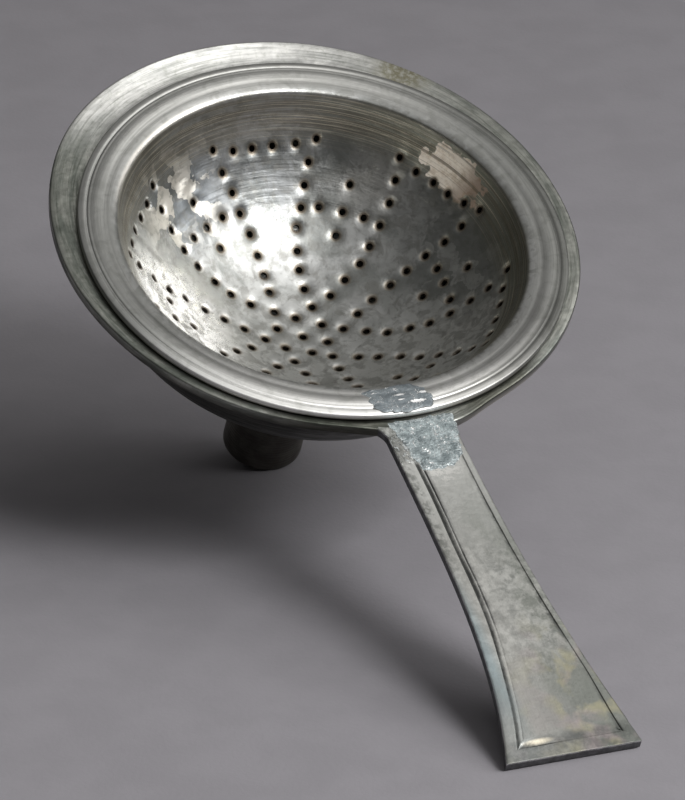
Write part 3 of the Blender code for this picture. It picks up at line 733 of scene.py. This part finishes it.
class Value:
    """A node's output, on which arithmetic, easing and textures build further nodes."""

    def __init__(self, socket):
        self.socket = socket

    def step(self, kind, inputs=(), output=0, **settings):
        """Add a node that takes this value first."""
        return add_node(self.socket.id_data, kind, {0: self, **dict(inputs)}, output, **settings)

    def __add__(self, other):
        return self.step('ShaderNodeMath', {1: other}, operation='ADD')

    def __sub__(self, other):
        return self.step('ShaderNodeMath', {1: other}, operation='SUBTRACT')

    def __mul__(self, other):
        return self.step('ShaderNodeMath', {1: other}, operation='MULTIPLY')

    def __abs__(self):
        return self.step('ShaderNodeMath', operation='ABSOLUTE')

    def larger(self, other):
        """The larger of two values."""
        return self.step('ShaderNodeMath', {1: other}, operation='MAXIMUM')

    def range(self, low, high, start=0.0, end=1.0):
        """Map a range of values to another, eased and clamped."""
        ends = {1: low, 2: high, 3: start, 4: end}
        return self.step('ShaderNodeMapRange', ends, interpolation_type='SMOOTHSTEP')

    def window(self, low, full, fade, high):
        """0 below low, 1 from full to fade, 0 above high."""
        return self.range(low, full) * self.range(high, fade)

    def between(self, first, second):
        """Mix two values by this share."""
        return self.step('ShaderNodeMix', {2: first, 3: second}, data_type='FLOAT')

    def mix(self, first, second, blend='MIX'):
        """Mix two colours by this share."""
        first, second = (c if isinstance(c, Value) else (*c, 1) for c in (first, second))
        return self.step('ShaderNodeMix', {6: first, 7: second}, 2, data_type='RGBA', blend_type=blend)

    def darken(self, first, second):
        """Multiply a colour by another by this share."""
        return self.mix(first, second, 'MULTIPLY')

    def part(self, axis):
        """One axis of a vector."""
        return self.step('ShaderNodeSeparateXYZ', output=axis)

    def stretch(self, *scale):
        """Scale a vector by axis."""
        return self.step('ShaderNodeVectorMath', {1: scale}, operation='MULTIPLY')

    def noise(self, scale, detail, rough, distortion=0.0):
        """Soft noise from 0 to 1."""
        inputs = {"Scale": scale, "Detail": detail, "Roughness": rough, "Distortion": distortion}
        return self.step('ShaderNodeTexNoise', inputs)

    def brushed(self, around, across, detail, rough, distortion=0.0):
        """Soft noise drawn out around the axis, from turn coordinates."""
        return self.stretch(around, around, across).noise(1.0, detail, rough, distortion)

    def cells(self, scale):
        """Distance to the nearest of scattered points."""
        return self.step('ShaderNodeTexVoronoi', {"Scale": scale}, "Distance")

    def shards(self, scale, stray):
        """A random value for each of the irregular cells around scattered points."""
        bent = self.step('ShaderNodeTexNoise', {"Scale": 0.35, "Detail": 2.0}, 1)
        moved = bent.step('ShaderNodeVectorMath', {1: (stray,) * 3, 2: self}, operation='MULTIPLY_ADD')
        return moved.step('ShaderNodeTexVoronoi', {"Scale": scale}, "Color").part(0)

    def away(self, place):
        """Distance from a place."""
        return self.step('ShaderNodeVectorMath', {1: place}, "Value", operation='DISTANCE')

    def near(self, place, reach):
        """1 around a place, 0 beyond a reach from it."""
        return self.away(place).range(reach, 0.3 * reach)

    def torn(self, place, reach, tear):
        """1 around a place, 0 beyond a reach from it that a noise tears."""
        return (self.away(place) + tear.range(0.3, 0.7, -2.0, 2.0)).range(reach, reach - 0.7)


def add_node(tree, kind, inputs=(), output=0, **settings):
    """Add a node, link or fill its inputs by name or number, and give one of its outputs."""
    made = tree.nodes.new(kind)
    for key, value in settings.items():
        setattr(made, key, value)
    for key, value in dict(inputs).items():
        if isinstance(value, Value):
            tree.links.new(value.socket, made.inputs[key])
        else:
            made.inputs[key].default_value = value
    return Value(made.outputs[output])


class Finish:
    """A material whose colours and reliefs are laid over one another."""

    def __init__(self, name, metallic):
        self.material = bpy.data.materials.new(name)
        self.material.use_nodes = True
        self.tree = self.material.node_tree
        self.shader = self.tree.nodes["Principled BSDF"]
        self.shader.inputs["Metallic"].default_value = metallic
        self.colour = None
        self.normal = None

    def read(self, name, kind="Vector"):
        """A value that the mesh carries."""
        return add_node(self.tree, 'ShaderNodeAttribute', output=kind, attribute_name=name)

    def paint(self, share, colour):
        """Lay a colour over the others by a share."""
        self.colour = share.mix(self.colour, colour)

    def tint(self, share, colour):
        """Multiply the colours so far by another by a share."""
        self.colour = share.darken(self.colour, colour)

    def relief(self, height, depth):
        """Lay a bump of a depth in metres over the others."""
        inputs = {"Height": height, "Distance": depth, "Strength": 1.0}
        if self.normal:
            inputs["Normal"] = self.normal
        self.normal = add_node(self.tree, 'ShaderNodeBump', inputs)

    def finish(self, rough, metallic=None):
        """Connect the shader."""
        links = {"Base Color": self.colour, "Roughness": rough, "Normal": self.normal, "Metallic": metallic}
        for key, value in links.items():
            if value:
                self.tree.links.new(value.socket, self.shader.inputs[key])
        return self.material


# Places of stains and wear, and of painted light and shade, as a centre and a reach in millimetres
PAINTED_REFLECTION_PATCH = ((-23, 22.5, -12), 10)
PALE_REFLECTION_WALL = ((-1, -33, -13), 14)
BRIGHT_REFLECTION_WALL = ((2.5, -29, -16.5), 21)
FACET_GLINT_WALL = ((-24, -21, -12), 16)
PAINTED_SHADE_WALL = ((3, 31.5, -12.5), 21)
PAINTED_SHADE_PATCH = ((-30, 19, -7.5), 9.5)
FLANGE_SHADE = ((40, 30, 2), 22)
RIM_CRUST = ((-41, 34.5, 0), 8.5)
RIGHT_WEB = ((50, 20, -1), 18)
LEFT_WEB = ((51, -14, 0), 22)
LEFT_WEB_SIDE = ((53, -14, -1), 16)
HANDLE_BLOOM = ((104, -3, -1), 28)
TONGUE_END_GLOW = ((67.5, 1, 0), 6.5)
TONGUE_SIDE = ((61, -5.2, 0), 5.2)
GLEAM_STRETCH = 4.0
GLEAM = ((545.2, -5.9, -2), 4)
GLINT_STRETCH = 3.5
GLINTS = ((51.4, 1.9, 2.3), (49.1, -1.2, 1.5), (49.3, 4.0, 1.9), (50.5, -1.4, 1.0))

# Painted tan reflection under the strainer's mouth, in stretched turn coordinates
TAN_TURN = math.radians(114.5)
TAN_RUN = 49.2
TAN_AROUND = 3.9
TAN_ACROSS = 1.9
TAN_CIRCLE = TURN_CIRCLE * TAN_AROUND
TAN_REFLECTION_PLACE = ((TAN_CIRCLE * math.cos(TAN_TURN), TAN_CIRCLE * math.sin(TAN_TURN), TAN_ACROSS * TAN_RUN), 8.6)


def bright_silver():
    """Strainer: bright worn silver, brown in the holes and under the mouth, with lathe lines, and painted
    reflections, highlights and shade.
    """
    f = Finish("bright_silver", 1.0)
    form, turn, grime_and_shade = f.read("form"), f.read("turn"), f.read("grime_and_shade", "Fac")
    run, along, aside = turn.part(2), form.part(0), form.part(1)
    flange = run.range(54.4, 57.4)
    lines = turn.brushed(0.1, 4.0, 5, 0.7)
    rings = turn.brushed(0.05, 1.25, 3, 0.6)
    streaks = turn.brushed(0.17, 1.5, 5, 0.65)
    cloud = form.noise(0.12, 5, 0.6, 0.5)
    stain = form.noise(0.3, 4, 0.58, 0.6)
    haze = form.noise(0.55, 4, 0.6, 0.4)

    # Bowl, with painted reflections and glints on the left and painted shade on the right
    f.colour = cloud.range(0.41, 0.58).mix((0.285, 0.292, 0.28), (0.445, 0.449, 0.439))
    # Lighter towards the handle's side: a painted reflection
    f.paint(along.range(-10, 22, 0.0, 0.8), (0.71, 0.715, 0.7))
    f.paint(stain.range(0.48, 0.62, 0.0, 0.6), (0.22, 0.218, 0.203))
    # Painted shade on the upper back wall, above the highlight
    upper = along.range(-18.5, -27) * run.range(47, 43)
    f.tint(upper * aside.range(14, 4), (0.56, 0.57, 0.585))
    # A pale patch on the back right wall is a painted reflection
    f.paint(form.near(*PAINTED_REFLECTION_PATCH) * 0.6, (0.56, 0.55, 0.52))
    # The left wall's white is a painted reflection and highlight, with darker painted facets; where it is
    # brightest it is made matte
    f.paint(form.near(*PALE_REFLECTION_WALL) * 0.6, (0.92, 0.91, 0.885))
    wall = form.near(*BRIGHT_REFLECTION_WALL)
    f.paint(wall * 0.85, (0.95, 0.935, 0.905))
    f.paint(wall * form.shards(0.42, 3.0).range(0.42, 0.36, 0.0, 0.5), (0.3, 0.295, 0.28))
    painted_glare = wall * stain.range(0.4, 0.56, 0.25, 0.85)
    # Bright and dark facets on the upper left wall are painted glints and painted shade
    facet_glints = form.near(*FACET_GLINT_WALL)
    facet_cells = form.shards(0.2, 6.0)
    f.paint(facet_glints * facet_cells.range(0.63, 0.68, 0.0, 0.62), (0.93, 0.885, 0.8))
    f.paint(facet_glints * facet_cells.range(0.34, 0.29, 0.0, 0.5), (0.19, 0.215, 0.24))
    f.paint(haze.range(0.5, 0.64, 0.0, 0.4), (0.21, 0.205, 0.187))
    # Painted shade on the right wall and on a patch at the back right
    painted_shade = form.near(*PAINTED_SHADE_WALL) * facet_cells.range(0.6, 0.5, 0.35, 0.7)
    f.paint(painted_shade.larger(form.near(*PAINTED_SHADE_PATCH) * 0.6), (0.135, 0.143, 0.135))

    # Brown band under the mouth, with a painted tan reflection
    band = run.window(42, 49.5, 53.6, 55.2)
    dull = aside.range(2, 24).mix((0.255, 0.247, 0.213), (0.225, 0.237, 0.2))
    f.paint(band * aside.range(0, 32, 0.45, 0.85), dull)
    f.paint(band * streaks.range(0.36, 0.6) * 0.6, (0.165, 0.142, 0.105))
    f.paint(band * lines.range(0.53, 0.63), (0.6, 0.55, 0.44))
    # A tan and cream patch under the mouth: a painted reflection, less metallic and rougher
    tan_reflection = turn.stretch(TAN_AROUND, TAN_AROUND, TAN_ACROSS).torn(*TAN_REFLECTION_PLACE, form.noise(0.38, 2, 0.45))
    cream = along.range(-8, -14).mix((0.42, 0.33, 0.265), (0.97, 0.895, 0.79))
    cream = rings.range(0.5, 0.62, 0.0, 0.8).mix(cream, (0.25, 0.215, 0.17))
    cream = lines.range(0.52, 0.66, 0.0, 0.7).mix(cream, (0.33, 0.27, 0.2))
    f.paint(tan_reflection, haze.range(0.42, 0.64, 0.0, 0.6).darken(cream, (0.66, 0.59, 0.5)))

    # Flange, lighter in front and behind, with painted shade on the right
    rim = along.range(18, 48).mix((0.46, 0.463, 0.445), (0.93, 0.925, 0.9))
    rim = along.range(-15, -46).mix(rim, (0.66, 0.66, 0.635))
    # Painted shade on the right of the flange, strongest towards its outer edge
    right = aside.range(14, 46, 0.0, 0.85) * along.range(-38, -8, 0.6, 1.0) * run.range(58, 62, 0.05, 1.0)
    rim = right.mix(rim, (0.25, 0.253, 0.238))
    rim = streaks.range(0.42, 0.64, 0.0, 0.6).darken(rim, (0.6, 0.6, 0.595))
    rim = stain.range(0.5, 0.66, 0.0, 0.4).darken(rim, (0.66, 0.67, 0.645))
    rim = (form.near(*FLANGE_SHADE) * 0.9).darken(rim, (0.58, 0.58, 0.58))
    # Painted shade dims the moulding's crest at the front right
    crest = run.range(59.6, 60.3) * along.range(12, 34)
    f.paint(flange, (crest * aside.range(2, 12)).darken(rim, (0.68, 0.68, 0.67)))
    # At the back left a bright streak on the mouth's roll is a painted highlight, and the flange beside it
    # is a little darker
    corner = aside.range(-6, -16) * along.range(8, -10)
    f.tint(corner * run.window(56, 57.5, 60.5, 63.5), (0.92, 0.92, 0.92))
    edge = run.window(54, 54.5, 54.9, 55.8) * along.range(-10, -22)
    f.paint(corner * edge * 0.7, (0.95, 0.91, 0.84))

    # Soil around the holes and in the cut line, painted shade low on the flange's edge, and painted
    # highlights on the holes' burrs on the left
    soil = flange.mix((0.31, 0.268, 0.21), (0.2, 0.2, 0.19))
    f.paint(grime_and_shade.range(0.08, 0.5, 0.0, 0.5) * aside.range(-8, -24, 1.0, 0.15), soil)
    # The pale rims of the holes on the left are painted highlights on their burrs
    painted_burr_highlight = grime_and_shade.range(0.05, 0.3) * aside.range(-8, -24, 0.0, 0.6) * haze.range(0.44, 0.58)
    f.paint(painted_burr_highlight * flange.range(0.5, 0.0), (0.9, 0.885, 0.85))
    f.paint(grime_and_shade.range(0.45, 0.97, 0.0, 0.9), (0.095, 0.076, 0.056))

    rough = form.noise(4.5, 2, 0.5).range(0.38, 0.62, 0.31, 0.45) + stain.range(0.4, 0.64, 0.0, 0.06)
    moulded = streaks.range(0.4, 0.62, 0.28, 0.38) + crest * 0.24
    rough = flange.between(rough - wall * 0.17, moulded) + grime_and_shade * 0.15 + tan_reflection * 0.12
    f.relief(lines * run.range(30, 50, 0.05, 1.0), 0.000024)
    f.relief(rings * band, 0.00006)
    arcs = turn.brushed(0.14, 0.9, 3, 0.55) * along.range(-8, -18)
    f.relief(arcs * run.window(24, 33, 43, 49), 0.00007)
    f.relief(wall * form.stretch(1.0, 1.0, 0.6).cells(0.5).range(0.0, 0.8), 0.00013)
    f.relief(form.noise(0.7, 2, 0.5), 0.00003)
    return f.finish(rough, tan_reflection.range(0.0, 1.0, 1.0, 0.65) - painted_glare)


def worn_silver():
    """Funnel: blotched grey-green silver on the rim, brushed round, with a painted highlight behind, and
    dark below with painted shade.
    """
    f = Finish("worn_silver", 1.0)
    form, turn, top = f.read("form"), f.read("turn"), f.read("top", "Fac")
    along, aside = form.part(0), form.part(1)
    blot = turn.brushed(0.42, 0.55, 6, 0.66, 0.3)
    brush = turn.brushed(0.22, 2.0, 5, 0.65)
    fine = form.noise(0.9, 5, 0.6)

    # Rim and inside
    f.colour = blot.range(0.36, 0.64).mix((0.27, 0.285, 0.265), (0.64, 0.64, 0.61))
    # Painted highlight on the back of the rim
    painted_sheen = blot.range(0.36, 0.6).mix((0.66, 0.66, 0.64), (0.93, 0.925, 0.9))
    f.paint(along.range(-22, -47) * 0.85, painted_sheen)
    f.tint(aside.range(-18, -48) * along.range(-44, -26) * 0.8, (0.62, 0.64, 0.6))
    f.tint(brush.range(0.46, 0.64, 0.0, 0.8), (0.55, 0.56, 0.54))
    f.tint(fine.range(0.5, 0.7, 0.0, 0.5), (0.64, 0.66, 0.61))
    crust = form.near(*RIM_CRUST) * fine.range(0.32, 0.6, 0.45, 1.0)
    f.paint(crust * 0.85, (0.2, 0.182, 0.11))
    f.tint(aside.range(14, 50, 0.0, 0.75), (0.6, 0.61, 0.58))
    web = form.near(*RIGHT_WEB)
    f.tint(web.larger(form.near(*LEFT_WEB)) * 0.95, (0.2, 0.203, 0.18))

    # Outside: dark, with painted shade low down and on the front left, lighter on the right and behind
    below = blot.range(0.35, 0.65).mix((0.055, 0.055, 0.049), (0.15, 0.148, 0.132))
    # Painted shade lower down
    below = form.part(2).range(-2.2, -3.4).darken(below, (0.52, 0.52, 0.5))
    hidden = (aside + along.range(30, -40, 0.0, 50.0)).range(10, 36)
    below = hidden.mix(below, blot.range(0.36, 0.64).mix((0.2, 0.2, 0.185), (0.39, 0.386, 0.364)))
    below = (web * 0.8).mix(below, (0.56, 0.54, 0.49))
    below = form.near(*LEFT_WEB_SIDE).darken(below, (0.85, 0.84, 0.81))
    f.colour = top.mix(below, f.colour)

    f.relief(brush, 0.00004)
    f.relief(fine, 0.00003)
    f.relief(form.noise(0.2, 2, 0.5), 0.00022)
    return f.finish(blot.range(0.4, 0.6, 0.4, 0.28) + brush.range(0.4, 0.7, 0.0, 0.1) + crust * 0.3)


def dark_silver():
    """Spout: near-black, a little lighter on the turned lines."""
    f = Finish("dark_silver", 1.0)
    form, turn = f.read("form"), f.read("turn")
    blot = form.noise(0.22, 4, 0.55, 0.2)
    lines = turn.brushed(0.2, 3.2, 4, 0.6)
    f.colour = blot.range(0.35, 0.65).mix((0.115, 0.108, 0.096), (0.175, 0.165, 0.148))
    f.paint(lines.range(0.5, 0.75) * 0.3, (0.3, 0.285, 0.255))
    f.relief(lines, 0.00003)
    f.relief(form.noise(1.4, 4, 0.6), 0.00003)
    return f.finish(blot.range(0.35, 0.65, 0.52, 0.42))


def pale_silver():
    """Handle: clouded grey silver, dark in the cut lines, with pale, warm and blue bloom near the end, and
    painted shade, glow and gleam.
    """
    f = Finish("pale_silver", 1.0)
    form, grime_and_shade, upper = f.read("form"), f.read("grime_and_shade", "Fac"), f.read("upper", "Fac")
    along, aside = form.part(0), form.part(1)
    cloud = form.stretch(0.8, 1.2, 1.0).noise(0.085, 7, 0.68, 0.4)
    mottle = form.noise(0.42, 7, 0.72, 0.2)
    fine = form.noise(0.75, 5, 0.62)

    # Upper side
    f.colour = cloud.range(0.34, 0.66).mix((0.232, 0.238, 0.225), (0.42, 0.42, 0.4))
    # Lighter towards the left edge; towards the right near the root it is darkened as painted shade
    lean = aside + cloud.range(0.3, 0.7, -5.0, 5.0)
    f.paint(lean.range(0.5, -4.5, 0.0, 0.45), (0.48, 0.472, 0.446))
    f.paint(lean.range(1.5, 7) * along.range(62, 80) * 0.7, (0.225, 0.24, 0.215))
    f.tint(fine.range(0.5, 0.7, 0.0, 0.5), (0.66, 0.665, 0.65))
    f.paint(along.range(91, 73, 0.0, 0.7), (0.62, 0.625, 0.6))
    bloom = form.near(*HANDLE_BLOOM) * mottle.range(0.36, 0.66)
    f.paint(bloom * 0.7, (0.53, 0.526, 0.5))
    warm = form.noise(0.12, 3, 0.5).range(0.42, 0.58).mix((0.46, 0.43, 0.29), (0.42, 0.36, 0.36))
    near_end = along.range(103, 124) * aside.range(-4, 5, 0.25, 1.0)
    f.paint(near_end * form.noise(0.17, 3, 0.5, 0.5).range(0.42, 0.62, 0.0, 0.7), warm)
    left = along.range(88, 104) * aside.range(-5, -8) * along.range(136, 122, 0.12, 0.6)
    f.paint(left, (0.29, 0.375, 0.405))
    f.tint(along.range(134.6, 136.2) * mottle.range(0.38, 0.6, 0.35, 0.9), (0.55, 0.56, 0.57))
    border = aside.range(-4.2, -5.6) * along.range(100, 84)
    f.paint(border * mottle.range(0.42, 0.56, 0.75, 0.0), (0.21, 0.215, 0.2))

    # Root around the solder, a painted glow at the tongue's end, and the painted gleam at the end
    f.paint(along.range(66, 57) * fine.range(0.35, 0.6) * 0.75, (0.17, 0.18, 0.165))
    f.paint(form.near(*TONGUE_END_GLOW) * fine.range(0.56, 0.46) * 0.7, (0.8, 0.79, 0.76))
    crumbs = form.near(*TONGUE_SIDE) * form.noise(1.1, 5, 0.65).range(0.52, 0.58)
    f.paint(crumbs, (0.78, 0.81, 0.81))
    f.paint(form.stretch(GLEAM_STRETCH, 1.0, 1.0).near(*GLEAM) * 0.8, (0.95, 0.87, 0.7))

    # Sides, rubbed edges with a painted highlight, and grooves darkened by dirt and painted shade
    scuffed = mottle.range(0.42, 0.62).mix((0.085, 0.085, 0.092), (0.19, 0.19, 0.2))
    f.paint(upper.range(0.98, 0.8) * 0.85, scuffed)
    arris_wear_and_highlight = upper.window(0.7, 0.9, 0.97, 1.0)
    f.paint(arris_wear_and_highlight * mottle.range(0.38, 0.6, 0.2, 0.9), (0.8, 0.8, 0.79))
    # Dirt and painted shade in the grooves
    groove_dirt_and_shade = grime_and_shade * mottle.range(0.35, 0.6, 1.3, 0.75)
    f.paint(groove_dirt_and_shade.range(0.1, 0.62, 0.0, 0.85), (0.085, 0.088, 0.085))

    f.relief(fine, 0.00004)
    f.relief(crumbs, 0.0002)
    f.relief(form.stretch(0.25, 2.2, 1.0).noise(1.2, 3, 0.5), 0.00002)
    return f.finish(cloud.range(0.4, 0.6, 0.46, 0.32) + fine.range(0.4, 0.7, 0.0, 0.1) + bloom * 0.12)


def old_solder(name, dull, clear, crest, grain, grain_depth, crumb):
    """Lumps of solder: blue-grey lead with pale grains, white painted glints and dark pits."""
    f = Finish(name, 0.55)
    form, edge = f.read("form"), f.read("edge", "Fac")
    fine = form.noise(grain, 6, 0.7)
    cloud = form.noise(0.42, 8, 0.7, 0.3)
    ridges = form.noise(0.42, 2, 0.5, 1.2)
    f.colour = cloud.range(0.36, 0.64).mix(dull, clear)
    f.paint(fine.range(0.56, 0.72, 0.0, 0.45), crest)
    f.paint(fine.range(0.45, 0.3, 0.0, 0.75), (0.075, 0.08, 0.078))
    # White painted glints on the ridges and at the given spots
    painted_ridge_glints = abs(ridges - 0.5).range(0.032, 0.01) * cloud.range(0.5, 0.58)
    flat = form.stretch(GLINT_STRETCH, 1.0, 0.0)
    for x, y, reach in GLINTS:
        spot = flat.near((GLINT_STRETCH * x, y, 0.0), reach) + fine.range(0.35, 0.65, -0.45, 0.3)
        painted_ridge_glints = painted_ridge_glints.larger(spot.range(0.3, 0.5))
    f.paint(painted_ridge_glints, (1.0, 1.0, 0.99))
    f.paint(edge.range(0.76, 0.94) * fine.range(0.5, 0.58) * crumb, (0.74, 0.77, 0.77))
    # Painted shade at the solder's foot
    f.paint(edge.range(0.95, 1.0, 0.0, 0.7), (0.11, 0.11, 0.1))
    f.relief(painted_ridge_glints, 0.00015)
    f.relief(form.cells(2.4), 0.6 * grain_depth)
    f.relief(fine, grain_depth)
    return f.finish(fine.range(0.35, 0.7, 0.6, 0.42) - painted_ridge_glints * 0.2)


# Camera, floor and light
CAMERA_AZIMUTH = math.radians(67.415)
CAMERA_ELEVATION = math.radians(22.607)
CAMERA_DISTANCE = 1.0236
CAMERA_AIM = Vector((-0.02498, 0.0, 0.02996))
CAMERA_LENS = 225.0
FLOOR_REACH = 6.0
FLOOR_STEPS = 96
FLOOR_COLOUR = (0.243, 0.2335, 0.250)
BOX_DISTANCE = 1.2
SOFT_BOXES = (("key", 117, 41, (0.44, 0.40), 11.9), ("side", 144, 29, (0.56, 0.44), 3.4),
              ("fill", 64, 50, (0.60, 0.60), 0.45))
WORLD_COLOUR = (1.0, 0.99, 0.97, 1)
WORLD_LOW = 0.02
WORLD_TOP = 0.23
WORLD_SIDE = 1.30
WORLD_SIDE_AZIMUTH = math.radians(157)
WORLD_SIDE_ELEVATION = math.radians(50)


def direction(azimuth, elevation):
    """Unit vector towards a place around the object, by the frame's view angles."""
    return Vector((math.sin(azimuth) * math.cos(elevation), -math.cos(azimuth) * math.cos(elevation),
                   math.sin(elevation)))


def put(name, data, way, place):
    """Put a camera or lamp at a place, looking back along a way."""
    thing = bpy.data.objects.new(name, data)
    thing.location = place
    thing.rotation_euler = (-way).to_track_quat('-Z', 'Y').to_euler()
    bpy.context.scene.collection.objects.link(thing)
    return thing


def make_camera():
    """Long lens at the photograph's angle."""
    lens = bpy.data.cameras.new("camera")
    lens.lens = CAMERA_LENS
    back = direction(CAMERA_AZIMUTH, CAMERA_ELEVATION)
    bpy.context.scene.camera = put("camera", lens, back, CAMERA_AIM + back * CAMERA_DISTANCE)


def paper_grey():
    """Floor: plain mauve-grey paper."""
    f = Finish("floor_paper", 0.0)
    place = add_node(f.tree, 'ShaderNodeNewGeometry', output="Position")
    mottle = place.noise(60.0, 4, 0.6)
    f.colour = mottle.range(0.35, 0.65).mix(FLOOR_COLOUR, [c * 1.06 for c in FLOOR_COLOUR])
    f.relief(place.noise(900.0, 3, 0.6), 0.00006)
    f.shader.inputs["Specular IOR Level"].default_value = 0.2
    return f.finish(mottle.range(0.3, 0.7, 0.85, 0.95))


def make_floor():
    """Wide flat floor under the object."""
    mesh = bpy.data.meshes.new("floor")
    corners = [(x, y, 0.0) for x, y in ring((0.0, 0.0), FLOOR_REACH, FLOOR_STEPS)]
    mesh.from_pydata(corners, [], [tuple(range(len(corners)))])
    mesh.materials.append(paper_grey())
    floor = bpy.data.objects.new("floor", mesh)
    bpy.context.scene.collection.objects.link(floor)


def make_light():
    """Two soft boxes to the right, a weak one in front, and a dim room that is brighter on the right."""
    for name, azimuth, elevation, size, power in SOFT_BOXES:
        box = bpy.data.lights.new(name, 'AREA')
        box.shape = 'RECTANGLE'
        box.size, box.size_y = size
        box.energy = power
        towards = direction(math.radians(azimuth), math.radians(elevation))
        put(name, box, towards, towards * BOX_DISTANCE)

    world = bpy.data.worlds.new("room")
    world.use_nodes = True
    tree = world.node_tree
    way = add_node(tree, 'ShaderNodeTexCoord', output="Generated")
    bright_side = direction(WORLD_SIDE_AZIMUTH, WORLD_SIDE_ELEVATION)
    side = way.step('ShaderNodeVectorMath', {1: bright_side}, "Value", operation='DOT_PRODUCT')
    top = way.part(2).range(0.3, 1.0, WORLD_LOW, WORLD_LOW + WORLD_TOP)
    level = top + side.range(0.78, 1.0, 0.0, WORLD_SIDE)
    room = tree.nodes["Background"]
    room.inputs["Color"].default_value = WORLD_COLOUR
    tree.links.new(level.socket, room.inputs["Strength"])
    bpy.context.scene.world = world


make_camera()
make_floor()
make_light()
make_strainer(bright_silver())
make_funnel(worn_silver())
make_spout(dark_silver())
make_handle(pale_silver())
smeared = old_solder("smeared_solder", (0.145, 0.168, 0.182), (0.265, 0.295, 0.31), (0.50, 0.54, 0.55),
                     grain=2.6, grain_depth=0.00004, crumb=0.1)
grainy = old_solder("grainy_solder", (0.145, 0.173, 0.18), (0.405, 0.46, 0.467), (0.66, 0.70, 0.71),
                    grain=2.2, grain_depth=0.00012, crumb=0.45)
make_patch("strainer_solder_skin", "strainer", "strainer_solder_patch", smeared, FLANGE_PATCH, flange_ground,
           thickness=0.00026, seed=2.3)
make_patch("handle_solder_skin", "funnel", "handle_solder_patch", grainy, TONGUE, handle_ground,
           thickness=0.00034, seed=6.1)

bpy.context.scene.view_settings.view_transform = 'Standard'
bpy.context.view_layer.update()
